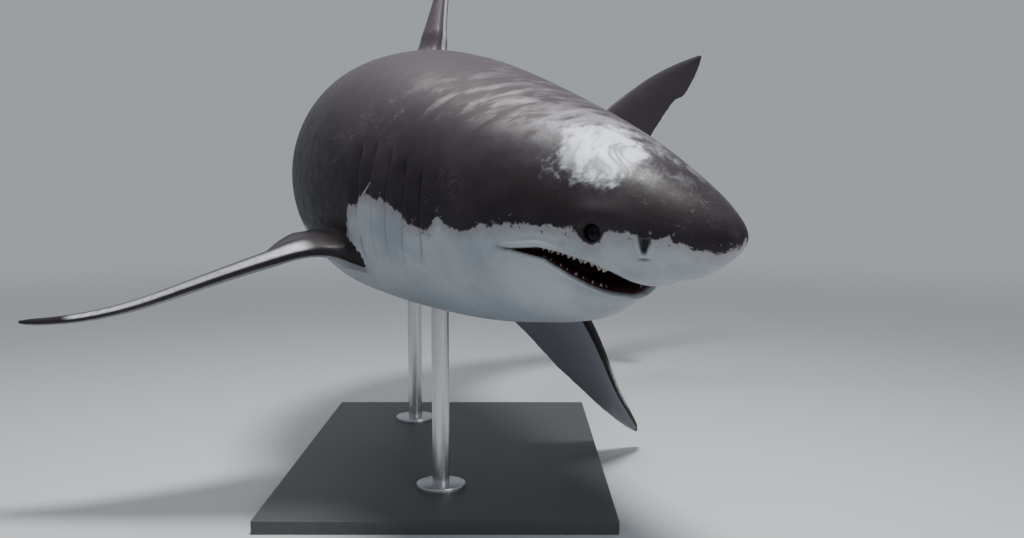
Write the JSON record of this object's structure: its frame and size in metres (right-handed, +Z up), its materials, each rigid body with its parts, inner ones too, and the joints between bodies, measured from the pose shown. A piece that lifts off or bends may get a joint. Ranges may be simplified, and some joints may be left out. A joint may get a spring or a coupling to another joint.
{
  "type": "great white shark model",
  "caption": "Life-size still model of a great white shark turning, mouth slightly open, held above a flat base by two upright rods",
  "frame": {"origin": "centre of the underside of the stand's base", "axes": "+Z up; the base's long side along Y; the snout points to -Y and +X, the tail to +Y"},
  "size_m": [2.5671, 3.4132, 1.9824],
  "materials": {
    "shark_skin": "smooth satin skin, dark above and white below",
    "eye": "polished black",
    "base_paint": "painted board, satin",
    "rod_steel": "brushed"
  },
  "bodies": {
    "root": {"head": "shark_skin", "lower_jaw": "shark_skin", "gill_region": "shark_skin", "trunk_front": "shark_skin", "trunk_rear": "shark_skin", "tail_base": "shark_skin", "tail_stalk": "shark_skin", "caudal_upper_lobe": "shark_skin", "caudal_lower_lobe": "shark_skin", "first_dorsal_fin": "shark_skin", "second_dorsal_fin": "shark_skin", "anal_fin": "shark_skin", "pectoral_fin_right": "shark_skin", "pectoral_fin_left": "shark_skin", "pelvic_fin_right": "shark_skin", "pelvic_fin_left": "shark_skin", "eye_right": "eye", "eye_left": "eye", "stand_base": "base_paint", "stand_rod_front": "rod_steel", "stand_rod_rear": "rod_steel", "stand_foot_front": "rod_steel", "stand_foot_rear": "rod_steel"}
  },
  "joints": []
}
